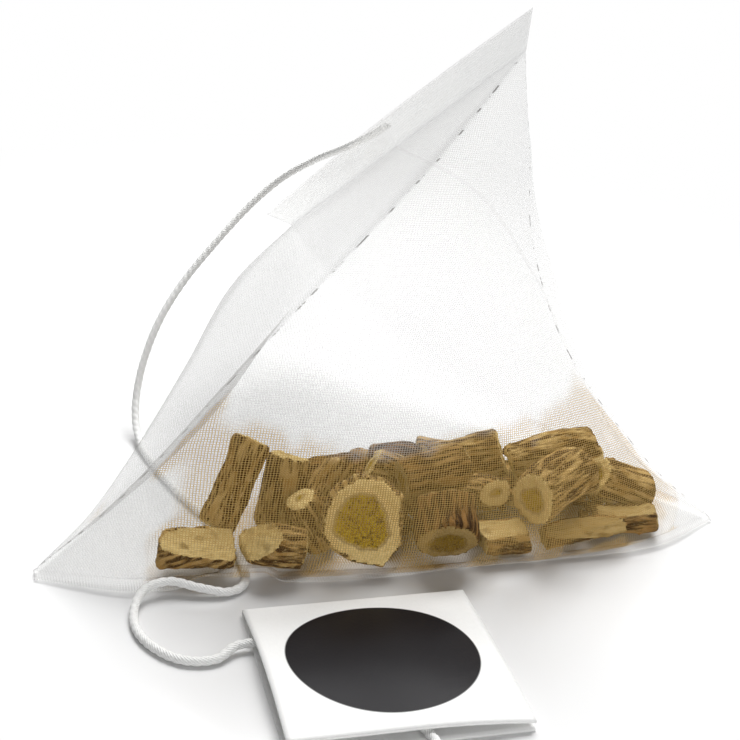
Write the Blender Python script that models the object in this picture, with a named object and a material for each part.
"""Pyramid tea bag of woven gauze, filled with chopped root, with its string and its folded card tag.

The bag is one tube of gauze, 66 mm wide when flat. Its foot is welded shut from left to right, and its
head is welded shut at a right angle to that, from front to rear, so the flat tube becomes a pyramid of
four faces. It rests on its lower face, on the weight of the root pieces that lie against its front.

Millimetres are used while the shapes are made, and each finished mesh is scaled to metres.
X runs along the foot seal, Y away from the front and Z up.
"""

import math

import bmesh
import bpy
import numpy as np
from mathutils import Matrix, Vector
from mathutils.bvhtree import BVHTree

MM = 0.001

# Where the middle of the bag's box lies in the drawing, so that it becomes the origin
ORIGIN = (0.0, 22.29)

# Gauze bag
GAUZE_SMOOTH = 40  # faces that meet at less than this many degrees are shaded as one
GAUZE = 0.15  # thickness of the gauze
TUBE_HALF = 32.9  # half the width of the flat tube
FOOT_RISE = 0.25  # how far the foot weld is lifted off the table in its middle
HEAD_FIN = 3.6  # the same leftover at the head weld
HEAD_FIN_UP = ((0.0, -0.2, 1.0), (-0.9, -0.1, 0.45))  # the way it stands at the top corner and at the rear
FOLD_ROUND = 2.0  # how softly the gauze turns at the four folds
BELLY = (0.0, -1.5, -1.7)  # how the front face bulges over the foot weld, at its fullest
BELLY_AT = 0.08  # where that is, as a share of the tube
SIDE_SEAM_RISE = 0.25  # height of the weld bead down the right side
SIDE_SEAM_HALF = 0.5  # half the width of that bead
PANEL_STEPS = 16  # grid steps from weld to weld, and round a quarter of the tube: folds run corner to corner
WELD_ROW = 0.012  # where the two layers part beside each weld, as a share of the tube
GAP_SIDE = 0.4  # side of an open gap in the weave, as a share of a grid step
GAP_FROM_HEIGHT = 14.0  # no gaps below this, where the root pieces lie
GAP_SMALLEST = 5.0  # nor in grid squares of a smaller area than this
GAP_ROW_STEP = 2
GAP_COLUMN_STEP = 3

# Corners of the pouch, at the weld lines
LEFT = (-TUBE_HALF, 1.6, 0.4)
RIGHT = (TUBE_HALF, 1.6, 0.4)
TOP = (7.6, -4.1, 48.5)
REAR = (0.2, 51.2, 14.9)
CLOSING_MIDDLE = (5.1, 24.6, 32.1)
FOOT_MIDDLE = (0.0, -3.7, LEFT[2] + FOOT_RISE)

# The foot weld, pushed forwards by the contents, and the cut edge in front of it: X, then Y of both
FOOT_WELD = (
    (-TUBE_HALF, LEFT[1], 0.3),
    (-27.0, -0.8, -2.9),
    (-23.0, -1.7, -3.9),
    (-15.0, -2.3, -3.7),
    (-7.0, -3.1, -4.8),
    (0.0, -3.7, -5.4),
    (7.0, -3.7, -5.4),
    (15.0, -3.5, -5.1),
    (25.0, -2.2, -4.2),
    (TUBE_HALF, RIGHT[1], 0.3),
)
FOOT_SPREAD = 0.3  # share of the tube over which the faces take up the line of the foot weld

# Each face hangs between two folds and is crowned through its middle line. From foot to head:
FOLD_LEFT_TOP = (LEFT, (-24.2, -1.0, 9.6), (-15.6, -1.4, 19.6), (-7.2, -2.2, 29.6), (0.6, -3.2, 39.4), TOP)
FOLD_RIGHT_TOP = (RIGHT, (22.6, -1.2, 9.4), (14.2, -0.8, 19.6), (10.0, -0.8, 30.2), (8.6, -3.0, 40.0), TOP)
FOLD_RIGHT_REAR = (RIGHT, (26.8, 10.5, 1.2), (20.2, 20.8, 3.0), (13.5, 31.0, 5.4), (7.0, 41.4, 9.6), REAR)
FOLD_LEFT_REAR = (LEFT, (-27.4, 10.2, 0.9), (-21.4, 20.4, 3.4), (-15.4, 30.6, 6.6), (-8.8, 41.6, 11.4), REAR)
MIDDLE_LEFT = (LEFT, (-24.2, 4.9, 5.1), (-15.9, 11.0, 9.7), (-9.7, 15.4, 17.7), (-3.0, 20.0, 25.0), CLOSING_MIDDLE)
MIDDLE_RIGHT = (RIGHT, (26.0, 5.4, 5.5), (21.2, 10.5, 12.9), (17.7, 15.4, 21.1), (12.7, 20.5, 28.4), CLOSING_MIDDLE)
MIDDLE_FRONT = (FOOT_MIDDLE, (1.0, -5.6, 10.4), (2.2, -5.2, 20.0), (4.0, -4.6, 30.0), (6.0, -4.3, 39.5), TOP)
MIDDLE_UNDER = (FOOT_MIDDLE, (0.0, 8.0, -0.6), (0.0, 19.0, -0.4), (0.0, 30.0, 3.2), (0.2, 41.0, 8.8), REAR)

# String
STRING_DIAMETER = 0.8
STRING_CLEARANCE = 0.35  # kept to the gauze and the card
STRING_POINTS = 76
TUNNEL_HALF = 4.4  # how far to each side the gauze bridges over the string under the bag

# The string, from the back of the head weld to its loose end below the tag
STRING_ROUTE = (
    (4.4, 25.8, 34.0),
    (3.9, 30.5, 31.6),
    (2.5, 36.0, 28.7),
    (0.6, 41.0, 26.0),
    (-2.8, 42.8, 23.4),
    (-6.5, 42.4, 20.4),
    (-10.7, 40.4, 16.8),
    (-14.6, 38.0, 13.2),
    (-17.5, 35.4, 9.8),
    (-19.5, 32.8, 6.2),
    (-20.6, 30.0, 3.0),
    (-20.8, 26.6, 1.0),
    (-20.2, 22.0, 0.45),
    (-18.4, 15.0, 0.45),
    (-16.0, 8.0, 0.45),
    (-14.4, 2.0, 0.45),
    (-14.4, -3.2, 0.45),
    (-16.2, -5.0, 0.5),
    (-18.7, -4.6, 0.9),
    (-21.3, -3.8, 1.35),
    (-23.6, -4.4, 1.1),
    (-24.8, -6.8, 0.55),
    (-24.8, -10.0, 0.45),
    (-23.6, -12.8, 0.45),
    (-21.6, -14.8, 0.45),
    (-19.0, -15.2, 0.5),
    (-16.6, -13.8, 0.78),
    (-13.0, -14.6, 0.78),
    (-9.6, -18.0, 0.78),
    (-6.6, -22.6, 0.78),
    (-4.6, -27.4, 0.8),
    (-3.7, -31.0, 0.62),
    (-3.2, -34.4, 0.45),
)

# Tag
TAG_SIDE = 20.0
TAG_CARD = 0.25  # thickness of the card
TAG_CENTRE = (-5.6, -18.6)
TAG_FOLD_GAP = 0.25  # between the leaves beside the fold at the rear
TAG_MOUTH = 1.1  # between the leaves at the open front
TAG_CURL = 0.95  # how far the upper leaf bows up between fold and mouth
TAG_STEPS = 10
TAG_STATIONS = 6
TAG_CLOSED = 0.7  # how much of that opening is lost at the right edge
TAG_SMOOTH = 30  # faces that meet at less than this many degrees are shaded as one

# Root pieces
CHUNK_CLEARANCE = 0.32  # between neighbours, and to the gauze
CHUNK_SIDES = 11
RIM_SHARE = 0.045  # how much of the diameter is worn off the rim of each cut end
ROOT_SMOOTH = 40  # faces that meet at less than this many degrees are shaded as one
SETTLE_ROUNDS = 90
SETTLE_DROP = 0.02  # how far each piece sinks in a round until it is held up

BARK = (0.235, 0.150, 0.062)
SAPWOOD = (0.520, 0.420, 0.190)

# Each root piece: centre, length and diameter in mm, then the way its grain points (turn about Z from
# +X and climb from level, in degrees), then its form: whole, half, flat, or slice.
ROOT_PIECES = (
    ("lying_left", (-17.8, -1.2, 2.5), 6.4, 4.4, (-10, 6), "half"),
    ("leaning_peeled", (-14.4, 3.6, 5.9), 8.6, 3.5, (30, 60), "flat"),
    ("small_stub", (-11.7, -2.0, 2.4), 5.2, 3.8, (5, -14), "whole"),
    ("pointed_bark", (-8.5, 4.2, 5.4), 7.2, 4.4, (40, 72), "half"),
    ("lean_behind", (-5.9, 5.4, 3.4), 6.0, 3.4, (40, 40), "whole"),
    ("pale_below", (-7.9, 0.4, 2.8), 5.6, 3.2, (10, -66), "whole"),
    ("big_slice", (-4.3, -1.8, 4.8), 2.6, 8.0, (-104, 24), "slice"),
    ("back_dark", (3.4, 12.0, 3.6), 4.4, 3.2, (-14, 3), "half"),
    ("right_of_slice", (0.9, 4.6, 4.8), 5.8, 3.8, (-10, -24), "whole"),
    ("slanted_bark", (4.9, 3.4, 5.6), 5.8, 4.2, (4, 10), "whole"),
    ("front_barrel", (4.1, -1.8, 2.8), 4.4, 6.0, (-100, -34), "whole"),
    ("little_end", (8.6, 2.6, 5.8), 4.4, 3.2, (-76, 22), "whole"),
    ("low_block", (10.9, -2.2, 2.4), 4.6, 4.0, (5, 0), "half"),
    ("top_middle", (9.6, 7.6, 6.0), 7.0, 4.8, (-8, 14), "whole"),
    ("oblique_face", (15.8, -0.6, 4.3), 7.6, 4.8, (36, 4), "whole"),
    ("top_right", (17.8, 7.2, 6.0), 8.6, 4.6, (-8, 14), "half"),
    ("long_low", (17.6, -2.6, 1.8), 8.4, 2.4, (-2, 2), "half"),
    ("right_round", (25.6, 2.6, 4.2), 5.2, 4.4, (0, -20), "whole"),
    ("right_slab", (23.9, -1.0, 2.2), 6.0, 3.2, (-6, 0), "half"),
    ("inner_one", (-8.2, 9.4, 2.2), 5.6, 3.6, (70, 4), "whole"),
    ("inner_two", (-3.0, 11.8, 2.2), 5.6, 3.4, (10, 0), "whole"),
    ("inner_three", (0.4, 8.6, 2.2), 6.0, 3.6, (80, 4), "half"),
    ("inner_four", (8.6, 13.0, 2.4), 6.2, 3.8, (-30, 0), "whole"),
    ("inner_five", (14.2, 9.0, 2.2), 6.0, 3.6, (60, 0), "half"),
    ("inner_six", (21.0, 8.6, 2.4), 5.4, 4.0, (-10, 6), "whole"),
    ("inner_seven", (2.2, 15.4, 1.8), 5.0, 3.0, (-40, 0), "half"),
    ("inner_eight", (-0.2, 2.8, 1.8), 4.2, 2.8, (80, 0), "half"),
)


def clear_scene():
    for old in list(bpy.data.objects):
        bpy.data.objects.remove(old, do_unlink=True)


def material(name, colour, roughness):
    made = bpy.data.materials.new(name)
    made.use_nodes = True
    shader = made.node_tree.nodes["Principled BSDF"]
    shader.inputs["Base Color"].default_value = (*colour, 1.0)
    shader.inputs["Roughness"].default_value = roughness
    shader.inputs["Metallic"].default_value = 0.0
    return made


def finish(name, bm, made_of, smooth_below=None):
    """Scales a mesh from the drawing's millimetres to metres about the origin, and makes it an object."""
    bmesh.ops.recalc_face_normals(bm, faces=bm.faces)
    if bm.calc_volume(signed=True) < 0:
        bmesh.ops.reverse_faces(bm, faces=bm.faces)
    move = Matrix.Scale(MM, 4) @ Matrix.Translation((-ORIGIN[0], -ORIGIN[1], 0))
    bm.transform(move)
    mesh = bpy.data.meshes.new(name)
    bm.to_mesh(mesh)
    bm.free()
    mesh.materials.append(made_of)
    if smooth_below is not None:
        mesh.shade_smooth()
        mesh.set_sharp_from_angle(angle=math.radians(smooth_below))
    obj = bpy.data.objects.new(name, mesh)
    bpy.context.scene.collection.objects.link(obj)
    return obj


def smooth_curve(points, where):
    """Points on one smooth curve through the given ones, at places from 0 to 1 along their list."""
    points = np.array(points, float)
    last = len(points) - 1
    ends = np.vstack([2 * points[0] - points[1], points, 2 * points[-1] - points[-2]])
    found = []
    for place in np.atleast_1d(where):
        span = min(int(place * last), last - 1)
        t = place * last - span
        before, start, end, after = ends[span : span + 4]
        found.append(
            0.5
            * (
                2 * start
                + (end - before) * t
                + (2 * before - 5 * start + 4 * end - after) * t**2
                + (3 * start - 3 * end + after - before) * t**3
            )
        )
    return np.array(found)


def even_curve(points, count):
    """Points at equal steps of length on one smooth curve through the given ones."""
    fine = smooth_curve(points, np.linspace(0, 1, 40 * len(points)))
    run = np.concatenate([[0], np.cumsum(np.linalg.norm(np.diff(fine, axis=0), axis=1))])
    steps = np.linspace(0, run[-1], count)
    return np.stack([np.interp(steps, run, fine[:, i]) for i in range(3)], axis=1)


def face_strip(start, middle, end, share, boxiness):
    """A line of points across one face, from fold to fold, crowned through its middle."""
    straight = start + (end - start) * share[:, None]
    crown = 1 - np.abs(2 * share - 1) ** boxiness
    return straight + (middle - (start + end) / 2) * crown[:, None]


def pouch_ring(up):
    """One closed ring of the pouch: up is 0 at the foot weld and 1 at the head weld.

    Column 0 is the middle of the left face. The ring passes over the front, the right face and
    underneath, and back to the left.
    """
    left, front, right, under = (
        smooth_curve(line, up)[0] for line in (MIDDLE_LEFT, MIDDLE_FRONT, MIDDLE_RIGHT, MIDDLE_UNDER)
    )
    left_top, right_top, right_rear, left_rear = (
        smooth_curve(line, up)[0]
        for line in (FOLD_LEFT_TOP, FOLD_RIGHT_TOP, FOLD_RIGHT_REAR, FOLD_LEFT_REAR)
    )
    fine = 60
    share = np.linspace(0, 1, fine, endpoint=False)
    boxiness = 2 + 4 * (1 - up) ** 8
    front = front + np.array(BELLY) * up / BELLY_AT * math.exp(1 - up / BELLY_AT)
    centre = (left + front + right + under) / 4
    sharpen = 0.75 * FOLD_ROUND * min(1.0, 5 * up, 5 * (1 - up))
    left_top, right_top, right_rear, left_rear = (
        fold + (fold - centre) / np.linalg.norm(fold - centre) * sharpen
        for fold in (left_top, right_top, right_rear, left_rear)
    )
    strips = (
        (left_rear, left, left_top, 2.0, up),
        (left_top, front, right_top, boxiness, 1 - up),
        (right_top, right, right_rear, 2.0, up),
        (right_rear, under, left_rear, boxiness, 1 - up),
    )
    spread = max(0.0, 1 - up / FOOT_SPREAD) ** 3
    foot = face_strip(np.array(LEFT), np.array(FOOT_MIDDLE), np.array(RIGHT), share, 6.0)
    shift = (foot_line(foot[:, 0])[0] - foot[:, 1]) * spread
    # The faces' widths change along the tube, and the columns keep to the threads of the gauze.
    points, widths = [], []
    for index, (start, middle, end, box, width) in enumerate(strips):
        strip = face_strip(start, middle, end, share, box)
        if index == 1:
            strip[:, 1] += shift
        elif index == 3:
            strip[:, 1] += shift[::-1]
        points.append(strip)
        widths.append(np.full(fine, max(width, 1e-4) / fine))
    points = np.vstack(points)
    place = np.concatenate([[0], np.cumsum(np.concatenate(widths))])[:-1] - up / 2
    columns = column_places() * 2
    looped = np.vstack([points, points[:1]])
    places = np.concatenate([place, [place[0] + 2]])
    wrapped = np.where(columns > places[-1], columns - 2, columns)
    sample = np.linspace(0, 2, 480, endpoint=False)
    sample_wrapped = np.where(sample > places[-1], sample - 2, sample)
    dense = np.stack([np.interp(sample_wrapped, places, looped[:, i]) for i in range(3)], axis=1)
    step = TUBE_HALF * 4 / len(sample)
    reach = FOLD_ROUND * min(1.0, 5 * up, 5 * (1 - up)) / step
    if reach > 0.5:
        half = int(3 * reach)
        weight = np.exp(-0.5 * (np.arange(-half, half + 1) / reach) ** 2)
        weight /= weight.sum()
        padded = np.vstack([dense[-half:], dense, dense[:half]])
        dense = np.stack([np.convolve(padded[:, i], weight, "valid") for i in range(3)], axis=1)
    loop = np.vstack([dense, dense[:1]])
    at = np.concatenate([sample, [2.0]])
    return np.stack([np.interp(columns % 2, at, loop[:, i]) for i in range(3)], axis=1)


def row_places():
    """Where the grid's rows lie, from 0 at the foot weld to 1 at the head weld."""
    even = np.arange(1, PANEL_STEPS) / PANEL_STEPS
    return np.concatenate([[0, WELD_ROW], even, [1 - WELD_ROW, 1]])


def foot_line(x):
    """The Y of the foot weld and of the cut edge in front of it, at each X."""
    fine = smooth_curve(FOOT_WELD, np.linspace(0, 1, 200))
    return np.interp(x, fine[:, 0], fine[:, 1]), np.interp(x, fine[:, 0], fine[:, 2])


def column_places():
    """Where the grid's columns lie round the tube, from 0 to 1, with a close pair at the side seam."""
    even = np.arange(4 * PANEL_STEPS) / (4 * PANEL_STEPS)
    bead = SIDE_SEAM_HALF / (4 * TUBE_HALF)
    return np.sort(np.concatenate([even, [0.5 - bead, 0.5 + bead]]))


def under_clearance(x, y, route):
    """Height of the table and, near it, of the string that the underside of the gauze lies over."""
    low = route[(route[:, 2] < 0.7) & (route[:, 1] > -5.2)]
    apart = np.hypot(low[:, 0] - x, low[:, 1] - y).min()
    if apart >= TUNNEL_HALF:
        return 0.0
    crest = STRING_DIAMETER + STRING_CLEARANCE + 0.2
    return crest * min(1.0, 1.6 * (1 + math.cos(math.pi * apart / TUNNEL_HALF)) / 2)


def pouch_surface():
    """The inner face of the gauze as rows of points, from foot to head."""
    rows = np.array([pouch_ring(up) for up in row_places()])
    route = even_curve(STRING_ROUTE, 200)
    for row in rows:
        for point in row:
            point[2] = max(point[2], GAUZE + under_clearance(point[0], point[1], route))
    return rows


def outward_normals(rows):
    """A unit normal at each point, pointing out of the pouch."""
    along = np.gradient(rows, axis=0)
    across = (np.roll(rows, -1, axis=1) - np.roll(rows, 1, axis=1)) / 2
    normals = np.cross(across, along)
    lengths = np.linalg.norm(normals, axis=2, keepdims=True)
    normals = normals / np.maximum(lengths, 1e-9)
    return normals


def build_bag():
    rows = pouch_surface()
    count = rows.shape[1]
    normals = outward_normals(rows)
    places = column_places()
    heights = row_places()

    # At the welds the two layers lie flat on each other.
    foot_side = np.sin(2 * np.pi * places)
    head_side = -np.cos(2 * np.pi * places)
    flat = lambda side: np.clip(side * 6, -1, 1)[:, None]
    foot_way = np.array([0.0, -0.1, 1.0])
    head_along = np.array(REAR) - np.array(TOP)
    head_up = np.mean(HEAD_FIN_UP, axis=0)
    head_way = np.cross(head_along, head_up)
    head_way /= np.linalg.norm(head_way)
    if head_way[0] < 0:
        head_way = -head_way
    normals[0] = flat(foot_side) * foot_way
    normals[-1] = flat(head_side) * head_way

    outer = rows + normals * GAUZE
    seam = np.abs(places - 0.5) < 1e-6
    outer[1:-1, seam] += normals[1:-1, seam] * SIDE_SEAM_RISE
    outer[1:-1, :, 2] = np.maximum(
        outer[1:-1, :, 2], np.maximum(rows[1:-1, :, 2] - GAUZE, 0.0)
    )

    # Fins: what stands out beyond each weld, up to its cut edge
    route = even_curve(STRING_ROUTE, 200)
    foot_edge = outer[0].copy()
    foot_edge[:, 1] = foot_line(foot_edge[:, 0])[1]
    foot_edge[:, 2] -= 0.2
    for point, side in zip(foot_edge, flat(foot_side)[:, 0]):
        clear = under_clearance(point[0], point[1], route)
        point[2] = max(point[2], clear + GAUZE * (1 + side))
    back = np.clip((outer[-1][:, 1:2] - TOP[1]) / (REAR[1] - TOP[1]), 0, 1)
    fin_up = (1 - back) * np.array(HEAD_FIN_UP[0]) + back * np.array(HEAD_FIN_UP[1])
    fin_up /= np.linalg.norm(fin_up, axis=1, keepdims=True)
    head_edge = outer[-1] + fin_up * HEAD_FIN

    bm = bmesh.new()
    skin = [[bm.verts.new(p) for p in row] for row in (foot_edge, *outer, head_edge)]
    lining = [[bm.verts.new(p) for p in row] for row in rows[1:-1]]

    def on_fold(column, low, high):
        """Whether a fold crosses this grid square from corner to corner, and which way it leans."""
        left = places[column]
        right = places[(column + 1) % count] or 1.0
        for base, lean in ((0.0, 1), (0.5, -1), (0.5, 1), (1.0, -1)):
            ends = (base + lean * low / 4, base + lean * high / 4)
            if left - 1e-6 <= min(ends) and max(ends) <= right + 1e-6:
                return lean
        return 0

    def wall(upper, lower, row, reverse):
        """One ring of faces. Those that a fold crosses come as triangles that meet along it."""
        faces = []
        for i in range(count):
            j = (i + 1) % count
            low, high = heights[max(row, 0)], heights[min(row + 1, len(heights) - 1)]
            lean = on_fold(i, low, high) if 0 <= row < len(heights) - 1 else 0
            ring = (lower[i], lower[j], upper[j], upper[i])
            if lean > 0:
                pieces = (ring[:3], (ring[0], ring[2], ring[3]))
            elif lean < 0:
                pieces = ((ring[0], ring[1], ring[3]), ring[1:])
            else:
                pieces = (ring,)
            made = [bm.faces.new(p[::-1] if reverse else p) for p in pieces]
            faces.append(made[0] if len(made) == 1 else None)
        return faces

    outer_faces = [wall(skin[k + 1], skin[k], k - 1, False) for k in range(len(skin) - 1)]
    inner_faces = [wall(lining[k + 1], lining[k], k + 1, True) for k in range(len(lining) - 1)]

    def zip_shut(loop, first, last, reverse):
        """Closes a flattened loop by joining its two sides."""
        order = [(first + k) % count for k in range(count)]
        stop = (last - first) % count
        side_a = order[: stop + 1]
        side_b = [order[0], *order[: stop - 1 : -1]]
        steps = max(len(side_a), len(side_b)) - 1
        a = [side_a[min(k, len(side_a) - 1)] for k in range(steps + 1)]
        b = [side_b[min(k, len(side_b) - 1)] for k in range(steps + 1)]
        for k in range(steps):
            corners = []
            for index in (a[k], a[k + 1], b[k + 1], b[k]):
                if not corners or loop[index] not in corners:
                    corners.append(loop[index])
            if len(corners) > 2:
                bm.faces.new(corners[::-1] if reverse else corners)

    left_column = int(np.argmin(np.abs(places)))
    right_column = int(np.argmin(np.abs(places - 0.5)))
    front_column = int(np.argmin(np.abs(places - 0.25)))
    rear_column = int(np.argmin(np.abs(places - 0.75)))
    zip_shut(skin[0], left_column, right_column, False)
    zip_shut(skin[-1], front_column, rear_column, False)
    zip_shut(lining[0], left_column, right_column, False)
    zip_shut(lining[-1], front_column, rear_column, False)

    # Open gaps of the weave: an inset window in both skins, joined through the wall
    for row in range(3, PANEL_STEPS - 2, GAP_ROW_STEP):
        for column in range(row % GAP_COLUMN_STEP, count, GAP_COLUMN_STEP):
            outside = outer_faces[row + 1][column]
            inside = inner_faces[row - 1][column]
            if not outside or not inside:
                continue
            if outside.calc_center_median().z < GAP_FROM_HEIGHT or outside.calc_area() < GAP_SMALLEST:
                continue
            pierce(bm, outside, inside)
    bm.normal_update()
    return bm


def pierce(bm, outside, inside):
    """Cuts one square gap through the gauze, between a face of the skin and the one behind it."""
    rims = []
    for face in (outside, inside):
        centre = face.calc_center_median()
        corners = list(face.verts)
        rim = [bm.verts.new(centre + (v.co - centre) * GAP_SIDE) for v in corners]
        for k in range(4):
            j = (k + 1) % 4
            bm.faces.new((corners[k], corners[j], rim[j], rim[k]))
        bm.faces.remove(face)
        rims.append(rim)
    outer_rim, inner_rim = rims
    start = min(range(4), key=lambda k: (inner_rim[k].co - outer_rim[0].co).length)
    matched = [inner_rim[(start - k) % 4] for k in range(4)]
    for k in range(4):
        j = (k + 1) % 4
        bm.faces.new((outer_rim[j], outer_rim[k], matched[k], matched[j]))


def chunk_mesh(index, length, diameter, form):
    """A root piece about its own centre, with its grain along X."""
    dice = np.random.default_rng(100 + index)
    lobes = dice.uniform(-0.07, 0.07, 3)
    turns = dice.uniform(0, 2 * math.pi, 3)
    squash = 1 - 0.12 * dice.random()
    tilt = dice.uniform(-0.22, 0.22, (2, 2))
    bend = dice.uniform(-0.05, 0.05)
    bm = bmesh.new()
    made = bmesh.ops.create_cone(
        bm,
        cap_ends=True,
        segments=CHUNK_SIDES,
        radius1=diameter / 2,
        radius2=diameter / 2,
        depth=length,
    )
    bmesh.ops.rotate(bm, verts=made["verts"], matrix=Matrix.Rotation(math.pi / 2, 3, "Y"))
    sides = [e for e in bm.edges if abs(e.verts[0].co.x - e.verts[1].co.x) > length / 2]
    bmesh.ops.subdivide_edges(bm, edges=sides, cuts=2)
    rims = [e for e in bm.edges if all(abs(abs(v.co.x) - length / 2) < 1e-4 for v in e.verts)]
    bmesh.ops.bevel(
        bm, geom=rims, offset=RIM_SHARE * diameter, segments=1, profile=0.5, affect="EDGES", material=-1
    )
    for vert in bm.verts:
        x, y, z = vert.co
        around = math.atan2(z, y)
        swell = 1 + sum(lobes[k] * math.cos((k + 2) * around + turns[k]) for k in range(3))
        swell += 0.05 * math.sin(3.1 * x + turns[0]) * math.cos(2 * around + turns[1])
        end = 0 if x < 0 else 1
        share = abs(x) / (length / 2)
        x += (tilt[end][0] * y + tilt[end][1] * z) * share**2
        vert.co = (x, y * swell, z * swell * squash + bend * (x * x - length * length / 12))
    if form in ("half", "flat"):
        depth = -0.12 if form == "half" else -0.30
        bmesh.ops.bisect_plane(
            bm,
            geom=[*bm.verts, *bm.edges, *bm.faces],
            plane_co=(0, 0, depth * diameter),
            plane_no=(0.05 * turns[0] - 0.1, 0.08, -1),
            clear_outer=True,
        )
        open_edges = [e for e in bm.edges if e.is_boundary]
        bmesh.ops.contextual_create(bm, geom=open_edges)
    bmesh.ops.triangulate(bm, faces=[f for f in bm.faces if len(f.verts) > 4])
    bmesh.ops.recalc_face_normals(bm, faces=bm.faces)
    middle = sum((v.co for v in bm.verts), Vector()) / len(bm.verts)
    bmesh.ops.translate(bm, verts=bm.verts, vec=-middle)
    return bm


def even_directions(count):
    """Unit directions spread evenly over a sphere."""
    k = np.arange(count) + 0.5
    height = 1 - 2 * k / count
    turn = math.pi * (1 + math.sqrt(5)) * k
    ring = np.sqrt(1 - height**2)
    return np.stack([ring * np.cos(turn), ring * np.sin(turn), height], axis=1)


def settle(hulls, tree):
    """Sinks the root pieces until each is held up, and eases them apart and off the gauze.

    hulls are the pieces' corner points. What comes back is how far each piece has moved.
    """
    ways = even_directions(260)
    moved = np.zeros((len(hulls), 3))
    reach = np.array([(hull @ ways.T).max(axis=0) for hull in hulls])
    dip = np.array([(hull @ ways.T).min(axis=0) for hull in hulls])
    for turn in range(SETTLE_ROUNDS):
        if turn < SETTLE_ROUNDS - 35:
            moved[:, 2] -= SETTLE_DROP
        shift = moved @ ways.T
        push = np.zeros_like(moved)
        for i in range(len(hulls)):
            clear = (dip[i + 1 :] + shift[i + 1 :]) - (reach[i] + shift[i])
            if not len(clear):
                continue
            best = clear.argmax(axis=1)
            gap = clear.max(axis=1)
            for k in np.nonzero(gap < CHUNK_CLEARANCE)[0]:
                step = ways[best[k]] * (CHUNK_CLEARANCE + 0.01 - gap[k]) / 2
                push[i] -= step
                push[i + 1 + k] += step
        moved += push
        for i, hull in enumerate(hulls):
            deepest, way = 0.0, None
            for point in hull + moved[i]:
                near, normal, _, _ = tree.find_nearest(Vector(point))
                inside = (near - Vector(point)).dot(normal)
                lack = CHUNK_CLEARANCE - inside
                if lack > deepest:
                    deepest, way = lack, normal
            if way is not None:
                moved[i] -= np.array(way) * (deepest + 0.01)
    return moved


def gauze_tree():
    """The inner face of the gauze, for finding how near a root piece is to it."""
    rows = pouch_surface()
    count = rows.shape[1]
    points = [Vector(p) for row in rows for p in row]
    faces = []
    for k in range(len(rows) - 1):
        for i in range(count):
            j = (i + 1) % count
            faces.append((k * count + i, k * count + j, (k + 1) * count + j, (k + 1) * count + i))
    return BVHTree.FromPolygons(points, faces)


def build_roots():
    tree = gauze_tree()
    meshes, hulls = [], []
    for index, (_, centre, length, diameter, (turn, climb), form) in enumerate(ROOT_PIECES):
        bm = chunk_mesh(index, length, diameter, form)
        roll = Matrix.Rotation(0.9 * index, 4, "X") if form == "whole" else Matrix.Identity(4)
        bm.transform(
            Matrix.Translation(centre)
            @ Matrix.Rotation(math.radians(turn), 4, "Z")
            @ Matrix.Rotation(-math.radians(climb), 4, "Y")
            @ roll
        )
        meshes.append(bm)
        hulls.append(np.array([v.co for v in bm.verts]))
    moved = settle(hulls, tree)
    bark = material("root_bark", BARK, 0.85)
    for (name, *_), bm, move in zip(ROOT_PIECES, meshes, moved):
        bmesh.ops.translate(bm, verts=bm.verts, vec=Vector(move))
        finish("root_" + name, bm, bark, ROOT_SMOOTH)


def build_string():
    points = even_curve(STRING_ROUTE, STRING_POINTS)
    curve = bpy.data.curves.new("string", "CURVE")
    curve.dimensions = "3D"
    curve.bevel_depth = STRING_DIAMETER / 2 * MM
    curve.bevel_resolution = 2
    curve.use_fill_caps = True
    spline = curve.splines.new("POLY")
    spline.points.add(len(points) - 1)
    for point, (x, y, z) in zip(spline.points, points):
        point.co = ((x - ORIGIN[0]) * MM, (y - ORIGIN[1]) * MM, z * MM, 1)
    curve.materials.append(material("cotton", (0.86, 0.86, 0.85), 0.8))
    obj = bpy.data.objects.new("string", curve)
    bpy.context.scene.collection.objects.link(obj)


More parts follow.
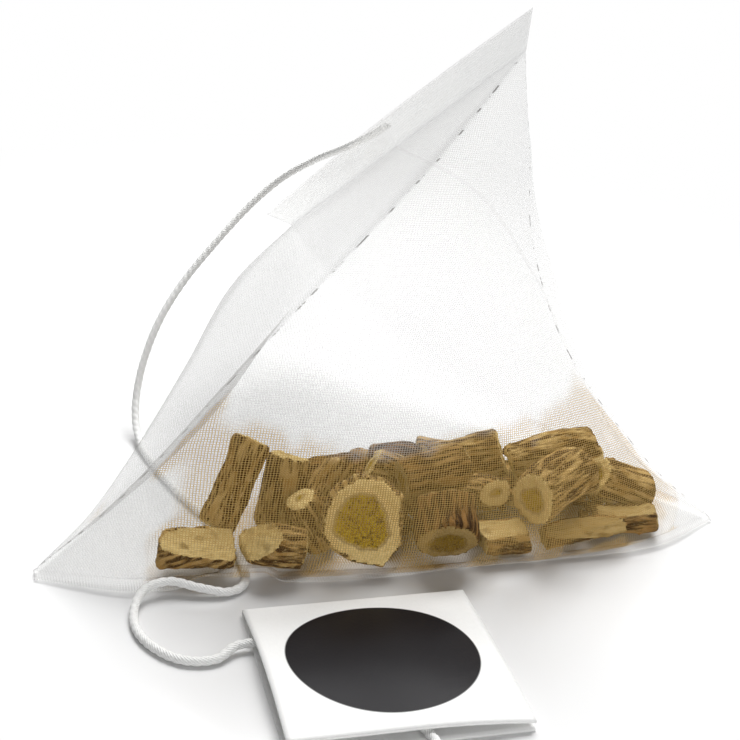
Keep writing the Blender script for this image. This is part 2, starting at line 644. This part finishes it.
def tag_outline(x):
    """The card's outline seen from the side, at one X: Y and Z down one face and back up the other."""
    half = TAG_SIDE / 2
    rear, front = TAG_CENTRE[1] + half, TAG_CENTRE[1] - half
    rightward = max(0.0, (x - TAG_CENTRE[0]) / half)
    opening = 1 - TAG_CLOSED * rightward**2
    gap = TAG_FOLD_GAP + TAG_CARD
    middle = [(front + TAG_SIDE * k / TAG_STEPS, TAG_CARD / 2) for k in range(TAG_STEPS + 1)]
    for k in range(1, 4):
        angle = math.pi * k / 4
        middle.append((rear + gap / 2 * math.sin(angle), TAG_CARD / 2 + gap / 2 * (1 - math.cos(angle))))
    for k in range(TAG_STEPS + 1):
        share = k / TAG_STEPS
        spring = (TAG_MOUTH - TAG_FOLD_GAP) * share**1.3 + TAG_CURL * math.sin(math.pi * share)
        middle.append((rear - TAG_SIDE * share, TAG_CARD / 2 + gap + opening * spring))
    line = np.array(middle)
    along = np.gradient(line, axis=0)
    along /= np.linalg.norm(along, axis=1, keepdims=True)
    side = np.stack([-along[:, 1], along[:, 0]], axis=1) * TAG_CARD / 2
    outline = np.vstack([line - side, (line + side)[::-1]])
    outline[:, 1] = np.maximum(outline[:, 1], 0)
    return outline


def build_tag():
    """A card strip folded double at its rear edge, with the upper leaf springing open at the front."""
    bm = bmesh.new()
    stations = []
    for k in range(TAG_STATIONS + 1):
        x = TAG_CENTRE[0] - TAG_SIDE / 2 + TAG_SIDE * k / TAG_STATIONS
        stations.append([bm.verts.new((x, y, z)) for y, z in tag_outline(x)])
    count = len(stations[0])
    for before, after in zip(stations, stations[1:]):
        for k in range(count):
            j = (k + 1) % count
            bm.faces.new((before[k], before[j], after[j], after[k]))
    for station in (stations[0], stations[-1]):
        for k in range(count // 2 - 1):
            bm.faces.new((station[k], station[k + 1], station[-k - 2], station[-k - 1]))
    finish("tag", bm, material("tag_card", (0.90, 0.90, 0.89), 0.5), TAG_SMOOTH)


def main():
    clear_scene()
    finish("gauze_bag", build_bag(), material("gauze", (0.88, 0.88, 0.87), 0.6), GAUZE_SMOOTH)
    build_roots()
    build_string()
    build_tag()


main()
